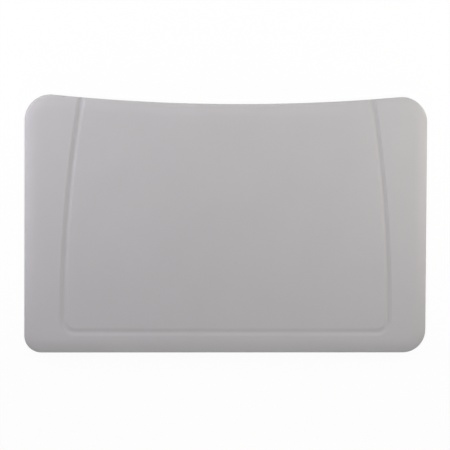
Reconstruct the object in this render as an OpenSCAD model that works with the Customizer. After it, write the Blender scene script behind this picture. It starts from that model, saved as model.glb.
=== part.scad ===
// Moulded polyethylene cutting board for use across or beside a sink.
// One thick slab with soft edges, a hollow rear edge and a juice groove along
// the front and both sides, which drains over the rear edge.
// It stands on four rubber feet, whose barbed stems push into blind sockets.
// +X is to the right, +Y to the rear, +Z up. The origin is under the middle, on the worktop.

/* [Board] */
// Overall width, side to side
board_w = 470; // [360:1:600]
// Overall depth, from the front edge to the tips of the rear corners
board_d = 300; // [220:1:400]
// Thickness of the slab
board_t = 16; // [13:0.5:24]
// Radius of the front left corner, in plan
front_left_r = 20; // [18:1:60]
// Radius of the front right corner, in plan
front_right_r = 27; // [18:1:60]
// Radius of both rear corners, in plan
rear_corner_r = 30; // [18:1:60]
// Radius of the long hollow curve of the rear edge, in plan
rear_hollow_r = 2160; // [900:10:5000]

/* [Edge section] */
// Distance from the edge at which the top face starts to fall away
crown_w = 17; // [10:0.5:17]
// Radius of that gentle fall
crown_r = 30; // [26:1:80]
// Radius of the rounded top edge
top_edge_r = 6; // [3:0.5:7]
// Radius of the rounded bottom edge
bottom_edge_r = 3.5; // [1:0.5:5]

/* [Juice groove] */
// Width of the groove across its lips
groove_w = 8.6; // [6:0.1:11]
// Depth of the groove below the top face
groove_depth = 2.0; // [1.3:0.1:2.5]
// Depth of the chamfer along the groove's lips
groove_lip = 0.3; // [0.2:0.1:0.4]
// Slope of that chamfer, from level
groove_lip_slope = 32; // [25:1:45]
// Front edge of the board to the centre of the groove's front run
groove_front_inset = 24.5; // [23:0.5:50]
// Side edge of the board to the centre of a side run, at its widest place near the front
groove_side_inset = 45.3; // [30:0.1:80]
// Radius of the groove's front corners, at its centre
groove_corner_r = 14; // [9:0.5:40]
// Radius of the long curve by which the side runs close in towards the rear
groove_side_r = 1610; // [700:10:4000]

/* [Feet] */
// Side edge of the board to the centre of a foot
foot_side_inset = 28; // [22:0.5:60]
// Front edge or rear corner tip of the board to the centre of a foot
foot_end_inset = 46; // [30:0.5:80]
// Diameter of a foot's head
foot_d = 20; // [14:0.5:26]
// Height by which the feet lift the slab
foot_stand = 2; // [1:0.25:6]
// Radius of the rounded edge of a foot's head
foot_edge_r = 0.8; // [0.3:0.1:1]
// Depth of the recess that a foot's head sits in
recess_depth = 1.5; // [0.5:0.25:3]
// Clearance all round the head in its recess
recess_clearance = 0.3; // [0.1:0.05:1]
// Diameter of the blind socket for the stem
socket_d = 8; // [6:0.5:10]
// Depth of the socket beyond the recess
socket_depth = 8; // [5:0.5:8.5]
// Depth of the chamfer at the mouth of the socket
socket_chamfer = 0.5; // [0.2:0.1:1]
// Clearance between the barbs' rims and the socket's wall
barb_clearance = 0.05; // [0.02:0.01:0.3]
// Height of a barb above the stem's core, on the radius
barb_h = 0.6; // [0.3:0.1:1]
// Number of barbs on a stem
barb_count = 3; // [2:1:4]
// Gap between the stem's tip and the end of the socket
stem_end_gap = 0.8; // [0.3:0.1:2]
// Width of a ring groove in a foot's tread
tread_groove_w = 1; // [0.6:0.1:1.2]
// Depth of a ring groove in a foot's tread
tread_groove_depth = 0.5; // [0.2:0.1:0.8]
// Distance from one ring groove in the tread to the next
tread_pitch = 2.4; // [2:0.1:3]

/* [Hidden] */
$fn = 96;
long_arc_fn = 1440;  // for the long curves, which are a few degrees of a very large circle
over = 1;            // how far a cutter stands out past the face that it cuts
seam_turn = 0.00003; // turn by which the hollow rear edge runs into its corners, about a micron
drain_slope = 8;     // slope at which a drain's arc cuts through the groove's level bottom

// Plan of the slab: the centres of its corners, and of the circle that its rear edge is part of
front_y = -board_d / 2;
front_left = [-board_w / 2 + front_left_r, front_y + front_left_r];
front_right = [board_w / 2 - front_right_r, front_y + front_right_r];
rear_right = [board_w / 2 - rear_corner_r, board_d / 2 - rear_corner_r];
rear_left = [-rear_right.x, rear_right.y];
rear_span = rear_hollow_r + rear_corner_r;
rear_turn = asin(rear_right.x / rear_span);
rear_centre = [0, rear_right.y + rear_span * cos(rear_turn)];

// Edge section: the top edge's arc ends where the crown's arc takes over, at crown_turn from level
crown_turn = asin((crown_w - top_edge_r) / (crown_r - top_edge_r));
crown_y = board_t - crown_r;
top_edge_y = crown_y + (crown_r - top_edge_r) * cos(crown_turn);
crown_end = top_edge_r * (1 - sin(crown_turn));

// Groove section: a round bottom up to the foot of the lips' chamfers. The cutter carries each
// chamfer on, both up past the top face and down into the round bottom, which ends half way up it.
chamfer_w = groove_lip / tan(groove_lip_slope);
chamfer_x = groove_w / 2 - chamfer_w;
chamfer_y = groove_depth - groove_lip;
groove_bottom_r = (chamfer_x * chamfer_x + chamfer_y * chamfer_y) / (2 * chamfer_y);

// Groove in plan
groove_x = board_w / 2 - groove_side_inset;
groove_y = front_y + groove_front_inset;
groove_z = foot_stand + board_t - groove_depth;
groove_turn = asin((board_d / 2 + over - groove_y - groove_corner_r) / groove_side_r);

// Drains: each goes down over the crown of the rear edge, as an arc that is level where the crown
// starts, cuts through the groove's bottom at drain_slope and comes out at the top of the outer wall.
// A side run's turn up to the crown is from the triangle of that place, its centre and rear_centre.
// Known fault: the exact solid loses its drains, with no message, where the round bottom comes up to
// the lips at hardly more than their chamfer's slope, as at groove_depth 1.4 or groove_lip_slope 44.
side_centre = [groove_x - groove_side_r, groove_y + groove_corner_r];
crown_start_r = rear_hollow_r + crown_w;
to_rear = rear_centre - side_centre;
drain_start = atan2(to_rear.y, to_rear.x)
            - acos((pow(groove_side_r, 2) + pow(norm(to_rear), 2) - pow(crown_start_r, 2))
                   / (2 * groove_side_r * norm(to_rear)));
drain_fall = board_t - groove_depth - top_edge_y - top_edge_r / 3;
drain_r = (sqrt(pow(drain_fall, 2) + pow(crown_w * sin(drain_slope), 2)) - drain_fall * cos(drain_slope))
        / pow(sin(drain_slope), 2);
drain_turn = asin((crown_w + 3 * over) / drain_r);

// Feet and their sockets
foot_x = board_w / 2 - foot_side_inset;
foot_y = board_d / 2 - foot_end_inset;
head_h = foot_stand + recess_depth;
socket_r = socket_d / 2;
barb_r = socket_r - barb_clearance;
stem_r = barb_r - barb_h;
stem_h = socket_depth - stem_end_gap;
barb_pitch = stem_h / (barb_count + 0.5);
tread_first_r = foot_d / 2 - foot_edge_r - 1.2 * tread_pitch;

// Moves by p in two steps, a round one and a small one, which keeps the centres of long arcs precise
module place(p) {
    coarse = [round(p.x * 10) / 10, round(p.y * 10) / 10];
    translate(coarse)
        translate(p - coarse)
            children();
}

// The area between two upright lines and two level ones
module area(left, right, bottom, top) {
    polygon([[left, bottom], [right, bottom], [right, top], [left, top]]);
}

// Section of the slab's edge: the outer wall is at x = 0, and the slab goes on to x = reach
module edge_section(reach) {
    area(bottom_edge_r, reach, 0, bottom_edge_r);
    intersection() {
        translate([bottom_edge_r, bottom_edge_r]) circle(bottom_edge_r);
        area(0, bottom_edge_r, 0, bottom_edge_r);
    }
    area(0, reach, bottom_edge_r, top_edge_y);
    intersection() {
        place([top_edge_r, top_edge_y]) circle(top_edge_r);
        area(0, crown_end, top_edge_y, board_t);
    }
    intersection() {
        place([crown_w, crown_y]) circle(crown_r);
        area(crown_end, crown_w, top_edge_y, board_t);
    }
    area(crown_w, reach, top_edge_y, board_t);
}

// A straight stretch of edge, which runs for a length in one direction with the slab on its left
module straight_edge(start, direction, length, reach) {
    translate(start)
        rotate(direction)
            rotate([90, 0, 90])
                linear_extrude(length) edge_section(reach);
}

// A rounded corner of radius r about a centre, which turns by an angle from its start direction
module corner(centre, r, start, turn) {
    translate(centre)
        rotate(start)
            rotate_extrude(angle = turn)
                intersection() {
                    translate([r, 0]) mirror([1, 0]) edge_section(r);
                    area(0, r, 0, board_t);
                }
}

// The hollow rear edge: the same section, carried about a centre far behind the slab
module hollow_edge() {
    half_turn = rear_turn + seam_turn;
    place(rear_centre)
        rotate(270)
            rotate_extrude(angle = 2 * half_turn, start = -half_turn, $fn = long_arc_fn)
                translate([rear_hollow_r, 0]) edge_section(rear_corner_r);
}

// The slab before the groove and the sockets are cut, with its underside at z = 0
module slab() {
    linear_extrude(board_t) polygon([front_left, front_right, rear_right, rear_left]);
    straight_edge([front_left.x, front_y], 0, front_right.x - front_left.x, max(front_left_r, front_right_r));
    straight_edge([board_w / 2, front_right.y], 90, rear_right.y - front_right.y,
                  max(front_right_r, rear_corner_r));
    straight_edge([-board_w / 2, rear_left.y], 270, rear_left.y - front_left.y,
                  max(front_left_r, rear_corner_r));
    corner(front_left, front_left_r, 180, 90);
    corner(front_right, front_right_r, 270, 90);
    for (side = [0, 1])
        mirror([side, 0]) corner(rear_right, rear_corner_r, 0, 90 + rear_turn);
    hollow_edge();
}

// Section of the groove's cutter: its lowest point is at the origin
module groove_section() {
    intersection() {
        translate([0, groove_bottom_r]) circle(groove_bottom_r);
        area(-groove_w, groove_w, -over, chamfer_y + groove_lip / 2);
    }
    polygon([for (p = [[-1, -1], [1, -1], [1, 3], [-1, 3]])
             [p.x * (chamfer_x + p.y * chamfer_w), chamfer_y + p.y * groove_lip]]);
}

// The groove's cutter: the front run, then a corner and a long side run on each side
module groove_cutter() {
    straight_half = groove_x - groove_corner_r;
    translate([-straight_half, groove_y])
        rotate([90, 0, 90])
            linear_extrude(2 * straight_half) groove_section();
    for (side = [0, 1])
        mirror([side, 0]) {
            translate([straight_half, groove_y + groove_corner_r])
                rotate(270)
                    rotate_extrude(angle = 90)
                        translate([groove_corner_r, 0]) groove_section();
            place(side_centre)
                rotate_extrude(angle = groove_turn, $fn = long_arc_fn)
                    translate([groove_side_r, 0]) groove_section();
        }
}

// The cutter for both drains: the groove's section, bent down about a level axis
module drain_cutter() {
    for (side = [0, 1])
        mirror([side, 0])
            place(side_centre + groove_side_r * [cos(drain_start), sin(drain_start)])
                rotate(drain_start)
                    translate([0, 0, -drain_r * cos(drain_slope)])
                        rotate([0, -90, 0])
                            rotate_extrude(angle = drain_turn)
                                translate([drain_r, 0]) rotate(-90) groove_section();
}

// The space that a foot needs in the slab: a recess for the head and a blind socket for the stem
module foot_socket() {
    translate([0, 0, -over])
        cylinder(h = recess_depth + over, r = foot_d / 2 + recess_clearance);
    cylinder(h = recess_depth + socket_depth, r = socket_r);
    translate([0, 0, recess_depth - over])
        cylinder(h = socket_chamfer + over, r1 = socket_r + socket_chamfer + over, r2 = socket_r);
}

// Places a shape at each of the four feet
module at_feet() {
    for (x = [-foot_x, foot_x], y = [-foot_y, foot_y])
        translate([x, y]) children();
}

// The drains are cut from the grooved slab, so that they cross the side runs' faces cleanly
module board() {
    color([0.71, 0.7, 0.71])
        difference() {
            difference() {
                translate([0, 0, foot_stand]) slab();
                translate([0, 0, groove_z]) groove_cutter();
                translate([0, 0, foot_stand]) at_feet() foot_socket();
            }
            translate([0, 0, groove_z]) drain_cutter();
        }
}

// Half section of a foot, for turning: its tread is at y = 0
module foot_section() {
    difference() {
        union() {
            translate([0, foot_edge_r]) square([foot_d / 2, head_h - foot_edge_r]);
            square([foot_d / 2 - foot_edge_r, foot_edge_r]);
            intersection() {
                translate([foot_d / 2 - foot_edge_r, foot_edge_r]) circle(foot_edge_r);
                translate([foot_d / 2 - foot_edge_r, 0]) square(foot_edge_r);
            }
        }
        for (i = [0, 1])
            translate([tread_first_r - i * tread_pitch - tread_groove_w / 2, -over])
                square([tread_groove_w, tread_groove_depth + over]);
    }
    translate([0, head_h]) square([stem_r, stem_h]);
    for (i = [1 : barb_count])
        translate([0, head_h + (i - 0.4) * barb_pitch])
            polygon([[0, 0], [barb_r, 0], [stem_r, 0.9 * barb_pitch], [0, 0.9 * barb_pitch]]);
}

module foot(x, y) {
    color([0.36, 0.36, 0.37])
        translate([x, y])
            rotate_extrude() foot_section();
}

board();
foot(-foot_x, -foot_y);  // foot_front_left
foot(foot_x, -foot_y);  // foot_front_right
foot(-foot_x, foot_y);  // foot_rear_left
foot(foot_x, foot_y);  // foot_rear_right
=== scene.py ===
"""A moulded polyethylene cutting board on four push-in rubber feet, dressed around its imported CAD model.

The board is one slab with a crowned edge, a hollow rear edge and a juice groove along its front and
both sides, which drains over the rear edge. All lengths are in metres. +X is to the right, +Y to the
hollow rear edge and +Z up, and the feet stand on z = 0.
"""

import bmesh
import bpy
import numpy as np
from mathutils import Matrix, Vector
from mathutils.geometry import delaunay_2d_cdt


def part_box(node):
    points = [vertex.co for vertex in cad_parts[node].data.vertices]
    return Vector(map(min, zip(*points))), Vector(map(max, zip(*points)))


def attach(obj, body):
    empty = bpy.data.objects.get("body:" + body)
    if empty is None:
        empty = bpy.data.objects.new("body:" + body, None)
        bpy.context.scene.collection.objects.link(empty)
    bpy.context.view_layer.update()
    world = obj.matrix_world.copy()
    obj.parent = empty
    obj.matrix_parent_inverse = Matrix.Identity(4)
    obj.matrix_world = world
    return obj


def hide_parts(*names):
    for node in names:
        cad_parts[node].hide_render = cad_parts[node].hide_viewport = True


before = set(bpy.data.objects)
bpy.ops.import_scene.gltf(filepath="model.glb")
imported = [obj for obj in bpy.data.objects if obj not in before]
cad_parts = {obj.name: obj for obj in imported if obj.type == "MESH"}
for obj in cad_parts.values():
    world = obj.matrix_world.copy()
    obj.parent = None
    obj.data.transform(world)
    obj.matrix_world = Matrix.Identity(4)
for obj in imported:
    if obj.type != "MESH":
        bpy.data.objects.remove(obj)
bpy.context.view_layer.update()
SLAB_LOW, SLAB_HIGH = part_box("board")
FOOT_LOW, FOOT_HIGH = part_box("foot_front_left")
FEET = ("foot_front_left", "foot_front_right", "foot_rear_left", "foot_rear_right")

bl_info = {
    "name": "Moulded cutting board",
    "version": (1, 0, 0),
    "blender": (4, 5, 0),
    "location": "View3D > Sidebar > Cutting Board",
    "description": "Builds a moulded cutting board and its rubber feet around their CAD solids",
    "category": "Add Mesh",
}


# ---- sizes and colours ----

def length(name, default, description):
    """A length that a user may change, in metres."""
    return bpy.props.FloatProperty(
        name=name, description=description, default=default, min=0, unit="LENGTH", precision=5)


def angle(name, default, description):
    """An angle that a user may change, given here in degrees."""
    return bpy.props.FloatProperty(
        name=name, description=description, default=np.radians(default), subtype="ANGLE")


def amount(name, default, description):
    """A plain number that a user may change."""
    return bpy.props.FloatProperty(name=name, description=description, default=default, min=0)


def colour(name, default, description):
    """A colour that a user may change, as linear red, green and blue."""
    return bpy.props.FloatVectorProperty(
        name=name, description=description, default=default, min=0, max=1, size=3, subtype="COLOR")


class SlabSizes(bpy.types.PropertyGroup):
    """Sizes of the slab and of its edge section."""
    width: length("Width", SLAB_HIGH.x - SLAB_LOW.x, "Overall width, side to side")
    depth: length("Depth", SLAB_HIGH.y - SLAB_LOW.y, "Front edge to the tips of the rear corners")
    top: length("Top", SLAB_HIGH.z, "Height of the top face above the worktop")
    underside: length("Underside", SLAB_LOW.z, "Height of the underside above the worktop")
    front_left_radius: length("Front left radius", 0.020, "Front left corner, in plan")
    front_right_radius: length("Front right radius", 0.027, "Front right corner, in plan")
    rear_corner_radius: length("Rear corner radius", 0.030, "Both rear corners, in plan")
    rear_hollow_radius: length("Rear hollow radius", 2.16, "Long hollow curve of the rear edge")
    crown_width: length("Crown width", 0.017, "Distance from the edge at which the top starts to fall")
    crown_radius: length("Crown radius", 0.030, "Radius of that gentle fall")
    top_edge_radius: length("Top edge radius", 0.006, "Rounded top edge")
    bottom_edge_radius: length("Bottom edge radius", 0.0035, "Rounded bottom edge")
    parting_width: length("Parting line width", 0.0004, "Mould's parting line on the wall")
    parting_depth: length("Parting line depth", 0.00008, "Depth of that line in the wall")


class GrooveSizes(bpy.types.PropertyGroup):
    """Sizes and places of the juice groove."""
    width: length("Width", 0.0084, "Width of the front run between its lips")
    depth: length("Depth", 0.0012, "Depth of the front run below the top face")
    rear_width: length("Rear width", 0.009, "Width of a side run at the rear, which it reaches evenly")
    side_depth: length("Side depth", 0.0021, "Depth of a side run, which it reaches round the front corner")
    bottom_radius: length("Bottom radius", 0.0012, "Half width of the rounded bottom between the walls")
    lip_blend: length("Lip blend", 0.0004, "Height over which each lip is rounded")
    front_inset: length("Front inset", 0.0245, "Front edge to the centre of the front run")
    side_inset: length("Side inset", 0.0453, "Side edge to the centre of a side run near the front")
    corner_radius: length("Corner radius", 0.014, "Radius of the groove's front corners")
    side_radius: length("Side radius", 1.61, "Radius of the long curve of each side run")


class FootSizes(bpy.types.PropertyGroup):
    """Sizes of a foot, and of the recess and socket that it sits in."""
    diameter: length("Diameter", FOOT_HIGH.x - FOOT_LOW.x, "Diameter of the head")
    edge_radius: length("Edge radius", 0.0008, "Rounded edge of the head")
    stem_radius: length("Stem radius", 0.00335, "Core of the stem")
    barb_radius: length("Barb radius", 0.00395, "Rims of the barbs")
    barb_pitch: length("Barb pitch", 0.00206, "Distance from one barb to the next")
    barb_count: bpy.props.IntProperty(name="Barbs", description="Barbs on a stem", default=3, min=1, max=5)
    recess_depth: length("Recess depth", 0.0015, "Depth of the recess that the head sits in")
    recess_clearance: length("Recess clearance", 0.0003, "Gap round the head in its recess")
    socket_radius: length("Socket radius", 0.004, "Blind socket for the stem")
    socket_depth: length("Socket depth", 0.008, "Depth of the socket beyond the recess")
    socket_chamfer: length("Socket chamfer", 0.0005, "Chamfer at the mouth of the socket")
    ring_radius: length("Ring radius", 0.00632, "Outer ring groove in the tread")
    ring_pitch: length("Ring pitch", 0.0024, "Distance from one ring groove to the next")
    ring_width: length("Ring width", 0.001, "Width of a ring groove")
    ring_depth: length("Ring depth", 0.0005, "Depth of a ring groove")


class Finishes(bpy.types.PropertyGroup):
    """Colours and surface finish."""
    plastic: colour("Polyethylene", (0.463, 0.453, 0.46), "Colour of the board")
    speck: colour("Specks", (0.33, 0.32, 0.32), "Colour of the faint specks in the board")
    rubber: colour("Rubber", (0.11, 0.11, 0.115), "Colour of the feet")
    floor: colour("Floor", (0.9, 0.9, 0.9), "Colour of the floor")
    grain_height: length("Grain height", 0.00003, "Height of the moulded grain of the board and feet")
    plastic_roughness: amount("Board roughness", 0.66, "Mean roughness of the board")
    rubber_roughness: amount("Foot roughness", 0.75, "Mean roughness of the feet")
    handled_size: length("Handled size", 0.012, "Size of the rougher and smoother patches of the board")
    handled_depth: amount("Handled depth", 0.08, "Difference in roughness between those patches")
    cloud_size: length("Cloud size", 0.05, "Size of the faint clouds in the board's colour")
    cloud_depth: amount("Cloud depth", 0.012, "How far those clouds lighten and darken the colour")
    speck_cells: amount("Speck cells", 90, "Cells per metre, of which a few hold a speck")
    speck_radius: amount("Speck radius", 0.06, "Radius of a speck, as a share of its cell")
    speck_rarity: amount("Speck rarity", 0.93, "Share of the cells that hold no speck")
    speck_strength: amount("Speck strength", 0.45, "How far a speck covers the board's colour")


class StageSizes(bpy.types.PropertyGroup):
    """The camera and the floor."""
    camera_distance: length("Camera distance", 1.995, "Camera to the origin")
    camera_lens: amount("Lens", 136.0, "Focal length in millimetres")
    lean_left: angle("Lean left", 2.95, "Lean of the camera from upright, to the left")
    lean_rear: angle("Lean rear", 1.9, "Lean of the camera from upright, to the rear")
    camera_roll: angle("Camera roll", 0.3, "Turn of the camera about its line of sight")
    shift_left: length("Shift left", 0.0013, "How far the camera stands to the left of its line")
    shift_down: length("Shift down", 0.001, "How far the camera stands below its line")
    floor_size: length("Floor size", 40.0, "Side of the square floor")
    backdrop_share: amount("Backdrop share", 0.95, "How far the floor shows plain white and not its shading")
    ambient: amount("Ambient", 0.0, "Strength of the soft light from all round")


# ---- shapes worked out as whole arrays ----

WELD = 1e-7              # vertices nearer than this are joined
PLAN_TOLERANCE = 1e-9    # points in plan nearer than this count as one
QUARTER = np.pi / 2      # a quarter turn
ROUND_STEPS = 96         # segments round a foot or a recess
CROWN_STEPS, TOP_EDGE_STEPS, BOTTOM_EDGE_STEPS = 22, 20, 10    # segments down the slab's edge
PARTING_POINTS = 7       # points across the parting line


def unit(angles):
    """Unit vectors at angles from +X, anticlockwise."""
    return np.stack([np.cos(angles), np.sin(angles)], axis=-1)


def arc(centre, radius, start, end, steps):
    """Points on an arc: its centre plus radius times the directions spread evenly from start to end."""
    return np.array(centre) + radius * unit(np.linspace(start, end, steps + 1))


def spread(first, last, steps):
    """The points between two others, evenly spread, without those two."""
    return np.linspace(first, last, steps + 1)[1:-1]


def share_along(points):
    """How far along a line of points each one lies, from 0 at its start to 1 at its end."""
    walked = np.cumsum(np.linalg.norm(np.diff(points, axis=0, prepend=points[:1]), axis=1))
    return walked / walked[-1]


def smooth_minimum(a, b, blend):
    """The lower of two heights, with the crease between them rounded: where they differ by less than
    blend, the result lies lower by blend / 4 times the square of how near they are."""
    near = np.clip(1 - np.abs(a - b) / blend, 0, None)
    return np.minimum(a, b) - blend / 4 * near ** 2


def with_height(plan, height):
    """Points in plan with a height for each."""
    return np.concatenate([plan, np.broadcast_to(height, plan.shape[:-1])[..., None]], -1)


def turned(profile, centre, segments):
    """A profile of radius and height carried round an upright axis. Each row is the profile at one
    angle: the centre plus the radius times that angle's direction, at the profile's height."""
    around = unit(np.linspace(0, 2 * np.pi, segments, endpoint=False))
    plan = np.array(centre) + profile[None, :, :1] * around[:, None, :]
    return with_height(plan, profile[None, :, 1])


def patch_between(front, rear, left, right):
    """A grid that fills four border lines which share their end points. Each point is the mix of the
    left and right lines across, plus the mix of the front and rear lines, less the mix of the four
    end points. The rows run from front to rear and the columns from left to right."""
    u = np.linspace(0, 1, len(front))[None, :, None]
    v = np.linspace(0, 1, len(left))[:, None, None]
    across = (1 - u) * left[:, None] + u * right[:, None]
    along = (1 - v) * front[None] + v * rear[None]
    ends = (1 - v) * ((1 - u) * front[0] + u * front[-1]) + v * ((1 - u) * rear[0] + u * rear[-1])
    return across + along - ends


def grid_faces(rows, columns, closed):
    """Quads of a grid of vertices numbered row by row. A closed grid joins its last row to its first."""
    here = np.arange(rows if closed else rows - 1)[:, None] * columns + np.arange(columns - 1)
    ahead = (here + columns) % (rows * columns)
    return np.stack([here, here + 1, ahead + 1, ahead], -1).reshape(-1, 4)


class Skin:
    """Patches of surface that are gathered, and then joined into one closed mesh."""

    def __init__(self):
        self.points, self.faces, self.count = [], [], 0

    def add(self, points, faces, flipped=False):
        """Adds a patch. A flipped patch faces the other way."""
        self.points.append(points.reshape(-1, 3))
        self.faces += (self.count + (faces[:, ::-1] if flipped else faces)).tolist()
        self.count += len(self.points[-1])

    def add_grid(self, grid, closed=False, flipped=False):
        """Adds a patch that is a grid of points."""
        self.add(grid, grid_faces(*grid.shape[:2], closed), flipped)

    def make(self, name, sharp_angle):
        """Makes the object: patches are welded where they meet, and rings that closed to a point
        lose their empty faces. It is shaded smooth except at edges above an angle in degrees."""
        mesh = bpy.data.meshes.new(name)
        mesh.from_pydata(np.concatenate(self.points).tolist(), [], self.faces)
        welded = bmesh.new()
        welded.from_mesh(mesh)
        bmesh.ops.remove_doubles(welded, verts=welded.verts, dist=WELD)
        bmesh.ops.dissolve_degenerate(welded, edges=welded.edges, dist=WELD)
        welded.to_mesh(mesh)
        welded.free()
        mesh.shade_smooth()
        mesh.set_sharp_from_angle(angle=np.radians(sharp_angle))
        made = bpy.data.objects.new(name, mesh)
        bpy.context.scene.collection.objects.link(made)
        return made


# ---- the slab ----

class Plan:
    """The board in plan: its outline and the groove's path, as arrays of points.

    The outline's stations start where the hollow rear edge meets the rear left corner. They run
    down the left side, along the front and up the right side to the same place on the right, and
    then back along the rear edge. Across each end of the groove they lie on the groove's own lines.
    """
    side_steps, front_steps, corner_steps, rear_corner_steps = 56, 84, 20, 20
    across_steps = 52          # across the groove, from margin to margin
    margin = 1.27              # half width of the groove's lines, as a share of the groove's half width
    border_shares = np.array([0, 0.06, 0.35, 0.7])   # rows between the crown and the groove's lines

    def __init__(self, slab, groove):
        self.slab, self.groove = slab, groove
        self.right, self.front = slab.width / 2, -slab.depth / 2
        rear_r = slab.rear_corner_radius
        self.rear_corner = np.array([self.right - rear_r, slab.depth / 2 - rear_r])
        rear_span = slab.rear_hollow_radius + rear_r
        self.rear_turn = np.arcsin(self.rear_corner[0] / rear_span)
        self.hollow_centre = np.array([0, self.rear_corner[1] + rear_span * np.cos(self.rear_turn)])
        self.groove_corner = np.array([self.right - groove.side_inset - groove.corner_radius,
                                       self.front + groove.front_inset + groove.corner_radius])
        self.side_centre = self.groove_corner + [groove.corner_radius - groove.side_radius, 0]
        reach = self.margin * groove.rear_width / 2
        self.lateral = np.linspace(-reach, reach, self.across_steps + 1)
        self.field_steps = self.front_steps + self.corner_steps
        self.flank = self.rear_corner_steps + self.side_steps      # from the rear to a front corner
        self.wrap = 2 * (self.flank + self.corner_steps) + self.front_steps   # from rear to rear
        self.band = len(self.border_shares) + self.across_steps    # from the crown to the field

    def crossing(self, lateral, inset):
        """Where the right run of the groove, moved over by lateral towards the middle, crosses the
        rear edge, moved in by inset. Both are circles, so the point is the apex of the triangle on
        the line between their centres whose other sides are their radii."""
        side_r = self.groove.side_radius - lateral
        rear_r = self.slab.rear_hollow_radius + inset
        base = self.hollow_centre - self.side_centre
        span = np.linalg.norm(base)
        ahead = base / span
        aside = np.array([ahead[1], -ahead[0]])
        foot = (side_r ** 2 - rear_r ** 2 + span ** 2) / (2 * span)
        apex = np.sqrt(side_r ** 2 - foot ** 2)
        return self.side_centre + foot[..., None] * ahead + apex[..., None] * aside

    def rear_stations(self, insets):
        """X of the stations along the hollow rear edge, for each inset: from the right end over the
        border, across the groove, over the field, and the mirrored places back to the left end."""
        lateral, inset = np.meshgrid(self.lateral, insets)
        groove = self.crossing(lateral, inset)[..., 0]
        end = (self.slab.rear_hollow_radius + insets[:, None]) * np.sin(self.rear_turn)
        border = end + self.border_shares * (groove[:, :1] - end)
        field = groove[:, -1:] * spread(1, -1, self.field_steps)
        half = np.concatenate([border, groove], 1)
        return np.concatenate([half, field, -half[:, ::-1]], 1)

    def station_laterals(self):
        """The place of each station across the groove, or the margin where it isn't at the groove."""
        beyond = np.full(self.wrap + 1 + len(self.border_shares) - 1, self.lateral[-1])
        field = np.full(self.field_steps - 1, self.lateral[-1])
        border = np.full(len(self.border_shares) - 1, self.lateral[-1])
        return np.concatenate([beyond, self.lateral, field, self.lateral[::-1], border])

    def rings(self, insets):
        """The outline moved in by each inset, as insets by stations by X and Y. A station on a
        corner or a straight moves along its inward direction. A station on the hollow rear edge
        stays on a circle about the far centre, whose radius grows by the inset."""
        slab = self.slab
        rear_x, rear_y = self.rear_corner
        left_r, right_r, rear_r = slab.front_left_radius, slab.front_right_radius, slab.rear_corner_radius
        front_left = (-self.right + left_r, self.front + left_r)
        front_right = (self.right - right_r, self.front + right_r)
        corners = [
            ((-rear_x, rear_y), rear_r, QUARTER - self.rear_turn, 2 * QUARTER, self.rear_corner_steps),
            (front_left, left_r, 2 * QUARTER, 3 * QUARTER, self.corner_steps),
            (front_right, right_r, 3 * QUARTER, 4 * QUARTER, self.corner_steps),
            ((rear_x, rear_y), rear_r, 0, QUARTER + self.rear_turn, self.rear_corner_steps),
        ]
        stations, inward = [], []
        for corner, straight_steps in zip(corners, (0, self.side_steps, self.front_steps, self.side_steps)):
            edge = arc(*corner)
            facing = -arc((0, 0), 1, *corner[2:])
            if straight_steps:
                stations.append(spread(stations[-1][-1], edge[0], straight_steps))
                inward.append(np.tile(facing[0], (straight_steps - 1, 1)))
            stations.append(edge)
            inward.append(facing)
        stations, inward = np.concatenate(stations), np.concatenate(inward)
        sides = stations + insets[:, None, None] * inward
        x = self.rear_stations(insets)[:, 1:-1]
        y = self.hollow_centre[1] - np.sqrt((slab.rear_hollow_radius + insets[:, None]) ** 2 - x ** 2)
        return np.concatenate([sides, np.stack([x, y], -1)], 1)

    def groove_lines(self, border):
        """The lines along the groove, for each lateral place, as stations by lateral by X and Y: a
        side run on a circle about its far centre, a quarter circle, the straight front run, and
        the same mirrored. Along the sides they keep step with the border line outside them."""
        groove = self.groove
        rear = self.crossing(self.lateral, np.full(len(self.lateral), self.slab.crown_width))
        rear_angle = np.arctan2(*(rear - self.side_centre).T[::-1])

        def run(shares):
            return self.side_centre + ((groove.side_radius - self.lateral)[:, None]
                                       * unit(shares[:, None] * rear_angle))

        def bend(angles):
            return self.groove_corner + (groove.corner_radius - self.lateral)[:, None] * unit(
                angles[:, None] + 0 * self.lateral)

        mirror = np.array([-1, 1])
        left = run(1 - share_along(border[:self.flank + 1])) * mirror
        right = run(share_along(border[-self.flank - 1:]))
        turn = bend(np.linspace(-QUARTER, 0, self.corner_steps + 1))
        front = spread(turn[0] * mirror, turn[0], self.front_steps)
        return np.concatenate([left[:-1], turn[::-1] * mirror, front, turn, right[1:]])


def edge_profile(slab):
    """The slab's edge section, from the top face to the underside, as inset from the edge and height.
    It is the crown's arc, the top edge's arc, the wall with a shallow parting line, and the bottom
    edge's arc. The two upper arcs are tangent where the crown ends."""
    crown_r, top_r, bottom_r = slab.crown_radius, slab.top_edge_radius, slab.bottom_edge_radius
    crown_turn = np.arcsin((slab.crown_width - top_r) / (crown_r - top_r))
    crown_centre = np.array([slab.crown_width, slab.top - crown_r])
    top_centre = crown_centre + (crown_r - top_r) * unit(QUARTER + crown_turn)
    bottom_centre = np.array([bottom_r, slab.underside + bottom_r])
    crown = arc(crown_centre, crown_r, QUARTER, QUARTER + crown_turn, CROWN_STEPS)
    top_edge = arc(top_centre, top_r, QUARTER + crown_turn, 2 * QUARTER, TOP_EDGE_STEPS)
    bottom_edge = arc(bottom_centre, bottom_r, 2 * QUARTER, 3 * QUARTER, BOTTOM_EDGE_STEPS)
    line = np.linspace(-1, 1, PARTING_POINTS)[:, None]
    parting = np.concatenate([slab.parting_depth * (1 - line ** 2) ** 2,
                              bottom_centre[1] + slab.parting_width * (1.5 - line / 2)], 1)
    return np.concatenate([crown, top_edge[1:], parting, bottom_edge])


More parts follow.
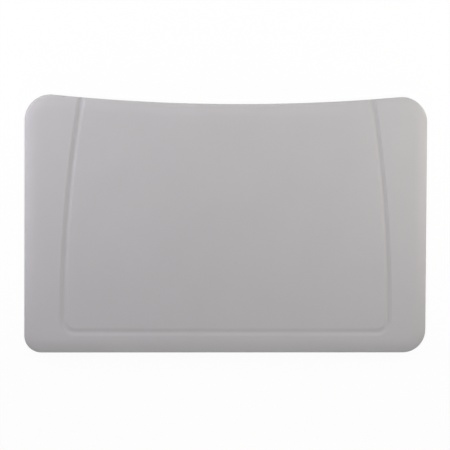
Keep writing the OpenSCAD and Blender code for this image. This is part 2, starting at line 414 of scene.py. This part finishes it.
def groove_height(slab, groove, lateral, inset, y):
    """Height of the groove's own surface at a place across it, at an inset from the rear edge and at
    a distance y behind the board's middle. Its section is a V with a rounded bottom (a hyperbola),
    which passes through both lips and goes on straight above them. It widens evenly from the front
    run to the rear, and reaches the depth of the side runs round the front corner. On the level top
    the section stands upright. Over the crown it stays square to the crown: its height is carried
    round the crown's centre, so the groove drains over the edge at its full depth."""
    behind = y + slab.depth / 2 - groove.front_inset
    along = np.clip(behind / (slab.depth - groove.front_inset), 0, 1)
    around_corner = np.clip(behind / (3 * groove.corner_radius), 0, 1)
    half = (groove.width + along * (groove.rear_width - groove.width)) / 2
    depth = groove.depth + around_corner * (groove.side_depth - groove.depth)
    soft = groove.bottom_radius
    section = depth * (np.hypot(lateral, soft) - soft) / (np.hypot(half, soft) - soft)
    past_crown = np.clip(slab.crown_width - inset, 0, None)
    reach = slab.crown_radius - depth + section
    return slab.top - slab.crown_radius + np.sqrt(reach ** 2 - past_crown ** 2)


def foot_centres():
    """The middles of the CAD feet in plan."""
    boxes = [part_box(name) for name in FEET]
    return [((low.x + high.x) / 2, (low.y + high.y) / 2) for low, high in boxes]


def recess_profile(slab, foot):
    """The recess and socket for a foot, from the mouth to the blind end, as radius and height."""
    floor = slab.underside
    recess_r = foot.diameter / 2 + foot.recess_clearance
    ceiling = floor + foot.recess_depth
    soft = foot.recess_clearance
    mouth = arc((recess_r + soft, floor + soft), soft, 3 * QUARTER, 2 * QUARTER, 5)
    inner = arc((recess_r - soft, ceiling - soft), soft, 0, QUARTER, 5)
    socket = np.array([(foot.socket_radius + foot.socket_chamfer, ceiling),
                       (foot.socket_radius, ceiling + foot.socket_chamfer),
                       (foot.socket_radius, ceiling + foot.socket_depth),
                       (0, ceiling + foot.socket_depth)])
    return np.concatenate([mouth, inner, socket])


def add_underside(skin, slab, outline, holes):
    """The flat underside: the region inside the outline and outside the round holes, in triangles.
    A hole is a centre and the circle of points round it."""
    loops = [outline, *(circle for _, circle in holes)]
    starts = np.cumsum([0, *map(len, loops)])
    edges = [np.stack([np.arange(len(loop)), np.roll(np.arange(len(loop)), -1)], 1) + start
             for loop, start in zip(loops, starts)]
    plan, _, faces, *_ = delaunay_2d_cdt(
        np.concatenate(loops).tolist(), np.concatenate(edges).tolist(), [], 1, PLAN_TOLERANCE)
    plan, faces = np.array(plan), np.array(faces)
    middles = plan[faces].mean(1)
    kept = np.ones(len(faces), bool)
    for centre, circle in holes:
        radius = np.linalg.norm(circle[0] - centre)
        kept &= np.linalg.norm(middles - centre, axis=1) > radius
    skin.add(with_height(plan, slab.underside), faces[kept], flipped=True)


def build_slab(slab, groove, foot):
    """The slab as one closed skin: the edge carried round the outline, the band that holds the border
    and the groove, the flat field, the underside, and a recess for each foot."""
    plan = Plan(slab, groove)
    profile = edge_profile(slab)
    rings = plan.rings(profile[:, 0])
    channel = groove_height(slab, groove, plan.station_laterals(), profile[:, :1], rings[..., 1])
    edge_z = smooth_minimum(profile[:, 1:], channel, groove.lip_blend)
    skin = Skin()
    skin.add_grid(with_height(rings, edge_z).transpose(1, 0, 2), closed=True)

    border = rings[0, :plan.wrap + 1]
    lines = plan.groove_lines(border)
    shares = plan.border_shares[:, None]
    rows = border[:, None] + shares * (lines[:, :1] - border[:, None])
    band = np.concatenate([rows, lines], 1)
    around_rear = rings[0, plan.wrap:]
    band[-1] = around_rear[:plan.band + 1]
    band[0] = np.concatenate([around_rear, rings[0, :1]])[::-1][:plan.band + 1]
    laterals = np.concatenate([np.full(len(shares), plan.lateral[-1]), plan.lateral])
    level = groove_height(slab, groove, laterals, slab.crown_width, band[..., 1])
    band_z = smooth_minimum(slab.top, level, groove.lip_blend)
    skin.add_grid(with_height(band, band_z), flipped=True)

    inner = band[:, -1]
    turn = plan.flank + plan.corner_steps // 2
    field = patch_between(inner[turn:-turn], around_rear[plan.band:plan.band + plan.field_steps + 1][::-1],
                          inner[:turn + 1][::-1], inner[-turn - 1:])
    skin.add_grid(with_height(field, slab.top))

    recess = recess_profile(slab, foot)
    holes = []
    for centre in foot_centres():
        hollow = turned(recess, centre, ROUND_STEPS)
        skin.add_grid(hollow, closed=True)
        holes.append((np.array(centre), hollow[:, 0, :2]))
    add_underside(skin, slab, rings[-1], holes)
    return skin


# ---- the feet ----

def foot_profile(foot):
    """Half section of a foot from the top of its stem to the middle of its tread, as radius and
    height: barbed stem, head with a rounded edge, and two ring grooves with softened lips."""
    low, high = FOOT_LOW.z, FOOT_HIGH.z
    head = SLAB_LOW.z + foot.recess_depth
    radius, edge, soft = foot.diameter / 2, foot.edge_radius, foot.edge_radius / 5
    points = [(0, high), (foot.stem_radius - soft, high), (foot.stem_radius, high - soft)]
    for i in range(foot.barb_count, 0, -1):
        rim = head + (i - 0.4) * foot.barb_pitch
        points += [(foot.stem_radius, rim + 0.9 * foot.barb_pitch), (foot.barb_radius, rim + soft / 2),
                   (foot.barb_radius - soft, rim), (foot.stem_radius, rim)]
    points += [(foot.stem_radius, head), (radius - soft, head), (radius, head - soft)]
    points += arc((radius - edge, low + edge), edge, 0, -QUARTER, 8).tolist()
    for i in range(2):
        outer = foot.ring_radius - i * foot.ring_pitch + foot.ring_width / 2
        inner = outer - foot.ring_width
        points += arc((outer + soft, low + soft), soft, 3 * QUARTER, 2 * QUARTER, 3).tolist()
        points += arc((outer - soft, low + foot.ring_depth - soft), soft, 0, QUARTER, 3).tolist()
        points += arc((inner + soft, low + foot.ring_depth - soft), soft, QUARTER, 2 * QUARTER, 3).tolist()
        points += arc((inner - soft, low + soft), soft, 0, -QUARTER, 3).tolist()
    points.append((0, low))
    return np.array(points)


# ---- materials ----

class Number:
    """A number that varies over a surface. Arithmetic on it adds Math nodes."""

    def __init__(self, finish, socket):
        self.finish, self.socket = finish, socket

    def maths(self, operation, *operands):
        """The result of a Math node on these operands."""
        return self.finish.node("ShaderNodeMath", {"operation": operation}, dict(enumerate(operands)))

    def __add__(self, other):
        return self.maths("ADD", self, other)

    def __sub__(self, other):
        return self.maths("SUBTRACT", self, other)

    def __mul__(self, other):
        return self.maths("MULTIPLY", self, other)


def named(sockets, key):
    """A node's socket by its place, or by its name among those in use."""
    return sockets[key] if isinstance(key, int) else next(s for s in sockets if s.name == key and s.enabled)


class Nodes:
    """A node tree that is being made, for a material or the world."""

    def __init__(self, tree):
        self.tree = tree
        tree.nodes.clear()

    def node(self, kind, settings=None, sockets=None, output=0):
        """Adds a node: its settings first, then the value or link of each of its sockets. Returns the
        output that is asked for, by its place or its name."""
        made = self.tree.nodes.new(kind)
        for name, value in (settings or {}).items():
            setattr(made, name, value)
        for name, value in (sockets or {}).items():
            socket = named(made.inputs, name)
            if isinstance(value, Number):
                self.tree.links.new(value.socket, socket)
            else:
                socket.default_value = value
        return Number(self, named(made.outputs, output)) if made.outputs else made

    def seen_directly(self):
        """1 for rays from the camera, off a mirror or through glass, and 0 for those that carry light."""
        kinds = ("Is Camera Ray", "Is Glossy Ray", "Is Transmission Ray")
        camera, glossy, through = (self.node("ShaderNodeLightPath", output=kind) for kind in kinds)
        return camera.maths("MAXIMUM", camera, glossy.maths("MAXIMUM", glossy, through))

    def mixed(self, share, first, second):
        """A share of the second shader over the first."""
        return self.node("ShaderNodeMixShader", sockets={0: share, 1: first, 2: second})


class Finish(Nodes):
    """A material that is being made."""

    def __init__(self, name):
        self.material = bpy.data.materials.new(name)
        self.material.use_nodes = True
        super().__init__(self.material.node_tree)
        self.place = self.node("ShaderNodeTexCoord", output="Object")

    def noise(self, feature_size, detail=2):
        """Soft noise from 0 to 1, with features of about a given size."""
        return self.node("ShaderNodeTexNoise", sockets={
            "Vector": self.place, "Scale": 1 / feature_size, "Detail": detail})

    def ramp(self, value, low, high):
        """0 below low and 1 above high, and even in between."""
        return self.node("ShaderNodeMapRange", sockets={"Value": value, "From Min": low, "From Max": high})

    def mix(self, share, first, second):
        """A colour between two others."""
        return self.node("ShaderNodeMix", {"data_type": "RGBA"}, {
            "Factor": share, "A": first if isinstance(first, Number) else (*first, 1), "B": (*second, 1)},
            output="Result")

    def bump(self, height, distance):
        """A normal from a height, which at 1 stands a distance above the surface."""
        return self.node("ShaderNodeBump", sockets={"Height": height, "Distance": distance, "Strength": 1})

    def surface(self, **sockets):
        """Ends the material in a Principled surface with these sockets."""
        names = {key.replace("_", " ").title().replace("Ior", "IOR"): value for key, value in sockets.items()}
        shader = self.node("ShaderNodeBsdfPrincipled", sockets=names)
        self.node("ShaderNodeOutputMaterial", sockets={"Surface": shader})
        return self.material


def polyethylene(finishes):
    """Satin moulded polyethylene: faint clouds in its colour, fine moulded grain and a few specks.
    The specks are the middles of those few cells whose random colour is reddest."""
    look = Finish("satin_polyethylene")
    cloud = look.ramp(look.noise(finishes.cloud_size, detail=3), 0.3, 0.7)
    pale, dark = (tuple((1 + change) * part for part in finishes.plastic)
                  for change in (finishes.cloud_depth, -finishes.cloud_depth))
    cells = {"Vector": look.place, "Scale": finishes.speck_cells, "Randomness": 1}
    from_middle = look.node("ShaderNodeTexVoronoi", sockets=cells, output="Distance")
    nearness = look.ramp(from_middle, 1.25 * finishes.speck_radius, 0.75 * finishes.speck_radius)
    redness = look.node("ShaderNodeSeparateColor", output="Red", sockets={
        "Color": look.node("ShaderNodeTexVoronoi", sockets=cells, output="Color")})
    speck = nearness * look.ramp(redness, finishes.speck_rarity, finishes.speck_rarity + 0.01)
    handled = look.ramp(look.noise(finishes.handled_size, detail=3), 0.2, 0.8)
    return look.surface(
        base_color=look.mix(speck * finishes.speck_strength, look.mix(cloud, dark, pale), finishes.speck),
        roughness=(handled - 0.5) * finishes.handled_depth + finishes.plastic_roughness,
        normal=look.bump(look.noise(0.0007) * 0.6 + look.noise(0.0022) * 0.4, finishes.grain_height),
        ior=1.5,
    )


def rubber(finishes):
    """Matt moulded rubber: fine grain, and a slight bloom in patches, which is paler and rougher."""
    look = Finish("moulded_rubber")
    bloom = look.ramp(look.noise(0.004, detail=4), 0.35, 0.75)
    bloomed = tuple(1.8 * part for part in finishes.rubber)
    return look.surface(
        base_color=look.mix(bloom * 0.3, finishes.rubber, bloomed),
        roughness=(bloom - 0.5) * 0.1 + finishes.rubber_roughness,
        normal=look.bump(look.noise(0.0004, detail=3), finishes.grain_height),
    )


# ---- operators ----

class AddSlab(bpy.types.Operator):
    """Add the moulded slab with its groove, crowned edge and recesses for the feet"""
    bl_idname = "cutting_board.add_slab"
    bl_label = "Add Slab"

    def execute(self, context):
        scene = context.scene
        skin = build_slab(scene.board_slab, scene.board_groove, scene.board_foot)
        made = skin.make("moulded_slab", sharp_angle=40)
        made.data.materials.append(polyethylene(scene.board_finishes))
        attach(made, "root")
        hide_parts("board")
        return {"FINISHED"}


class AddFeet(bpy.types.Operator):
    """Add the four rubber feet, each in the place of its CAD solid"""
    bl_idname = "cutting_board.add_feet"
    bl_label = "Add Feet"

    def execute(self, context):
        scene = context.scene
        profile = foot_profile(scene.board_foot)
        finish = rubber(scene.board_finishes)
        for node, centre in zip(FEET, foot_centres()):
            skin = Skin()
            skin.add_grid(turned(profile, centre, ROUND_STEPS), closed=True)
            made = skin.make("rubber_" + node, sharp_angle=35)
            made.data.materials.append(finish)
            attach(made, "root")
            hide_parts(node)
        return {"FINISHED"}


# The soft lamps stand round the board: bearings run anticlockwise from +X.
COOL = (0.95, 0.92, 1)
WARM = (1, 0.97, 0.92)
PLAIN = (1, 1, 1)
LAMPS = (   # name, bearing and elevation in degrees, distance in metres, width in metres, watts, tint
    ("rear_left_lamp", 150, 15, 0.8, 0.3, 1.5, COOL),
    ("left_lamp", 170, 20, 0.6, 0.3, 0.8, COOL),
    ("right_lamp", 10, 20, 0.6, 0.3, 1.1, WARM),
    ("rear_right_lamp", 40, 35, 0.7, 0.6, 0.5, WARM),
    ("rear_lamp", 90, 45, 0.8, 0.6, 2.7, PLAIN),
    ("top_lamp", 90, 70, 0.8, 0.6, 1.5, PLAIN),
    ("front_lamp", 270, 25, 1.2, 0.6, 5.5, PLAIN),
)


def add_lamp(name, bearing, elevation, distance, width, power, tint):
    """A square soft lamp that faces the origin from a bearing, an elevation and a distance."""
    data = bpy.data.lights.new(name, "AREA")
    data.size, data.energy, data.color = width, power, tint
    lamp = bpy.data.objects.new(name, data)
    level, up = unit(np.radians(elevation)) * distance
    lamp.location = (*(level * unit(np.radians(bearing))), up)
    lamp.rotation_euler = lamp.location.to_track_quat("Z", "Y").to_euler()
    lamp.visible_camera = False
    bpy.context.scene.collection.objects.link(lamp)


class AddStage(bpy.types.Operator):
    """Add the floor, the lamps, the world and the camera"""
    bl_idname = "cutting_board.add_stage"
    bl_label = "Add Stage"

    def execute(self, context):
        scene = context.scene
        stage, finishes = scene.board_stage, scene.board_finishes
        self.add_floor(stage, finishes)
        self.add_world(stage)
        for lamp in LAMPS:
            add_lamp(*lamp)
        self.add_camera(stage)
        scene.view_settings.view_transform = "Standard"
        return {"FINISHED"}

    def add_floor(self, stage, finishes):
        """A flat pale floor that shows white and keeps the board's shadow faintly."""
        half = stage.floor_size / 2
        corners = [(-half, -half, 0), (half, -half, 0), (half, half, 0), (-half, half, 0)]
        mesh = bpy.data.meshes.new("floor")
        mesh.from_pydata(corners, [], [(0, 1, 2, 3)])
        floor = bpy.data.objects.new("floor", mesh)
        bpy.context.scene.collection.objects.link(floor)
        look = Finish("pale_floor")
        lit = look.node("ShaderNodeBsdfDiffuse", sockets={"Color": (*finishes.floor, 1)})
        white = look.node("ShaderNodeEmission", sockets={"Strength": 1.0})
        shown = look.mixed(look.seen_directly() * stage.backdrop_share, lit, white)
        look.node("ShaderNodeOutputMaterial", sockets={"Surface": shown})
        mesh.materials.append(look.material)

    def add_world(self, stage):
        """Soft light from all round, which shows as plain white."""
        world = bpy.data.worlds.new("studio")
        bpy.context.scene.world = world
        world.use_nodes = True
        sky = Nodes(world.node_tree)
        light = sky.node("ShaderNodeBackground", sockets={"Color": (1, 1, 1, 1), "Strength": stage.ambient})
        white = sky.node("ShaderNodeBackground", sockets={"Color": (1, 1, 1, 1), "Strength": 1.0})
        sky.node("ShaderNodeOutputWorld", sockets={"Surface": sky.mixed(sky.seen_directly(), light, white)})

    def add_camera(self, stage):
        """A camera that looks down on the board from almost straight above its middle."""
        data = bpy.data.cameras.new("camera")
        data.lens = stage.camera_lens
        camera = bpy.data.objects.new("camera", data)
        lean = Matrix.Rotation(-stage.lean_left, 4, "Y") @ Matrix.Rotation(-stage.lean_rear, 4, "X")
        roll = Matrix.Rotation(stage.camera_roll, 4, "Z")
        stand = Matrix.Translation((-stage.shift_left, -stage.shift_down, stage.camera_distance))
        camera.matrix_world = lean @ roll @ stand
        bpy.context.scene.collection.objects.link(camera)
        bpy.context.scene.camera = camera


class BoardPanel(bpy.types.Panel):
    """Lists the board's sizes and finishes and the operators that build it"""
    bl_idname = "VIEW3D_PT_cutting_board"
    bl_label = "Cutting Board"
    bl_space_type = "VIEW_3D"
    bl_region_type = "UI"
    bl_category = "Cutting Board"

    def draw(self, context):
        for operator in OPERATORS:
            self.layout.operator(operator.bl_idname)
        for name, group in GROUPS.items():
            box = self.layout.box()
            for field in group.__annotations__:
                box.prop(getattr(context.scene, name), field)


GROUPS = {
    "board_slab": SlabSizes,
    "board_groove": GrooveSizes,
    "board_foot": FootSizes,
    "board_finishes": Finishes,
    "board_stage": StageSizes,
}
OPERATORS = (AddSlab, AddFeet, AddStage)


def register():
    for group in (*GROUPS.values(), *OPERATORS, BoardPanel):
        bpy.utils.register_class(group)
    for name, group in GROUPS.items():
        setattr(bpy.types.Scene, name, bpy.props.PointerProperty(type=group))


def unregister():
    for name in GROUPS:
        delattr(bpy.types.Scene, name)
    for group in reversed((*GROUPS.values(), *OPERATORS, BoardPanel)):
        bpy.utils.unregister_class(group)


def main():
    """Registers the add-on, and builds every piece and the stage."""
    register()
    bpy.ops.cutting_board.add_slab()
    bpy.ops.cutting_board.add_feet()
    bpy.ops.cutting_board.add_stage()


if __name__ == "__main__":
    main()
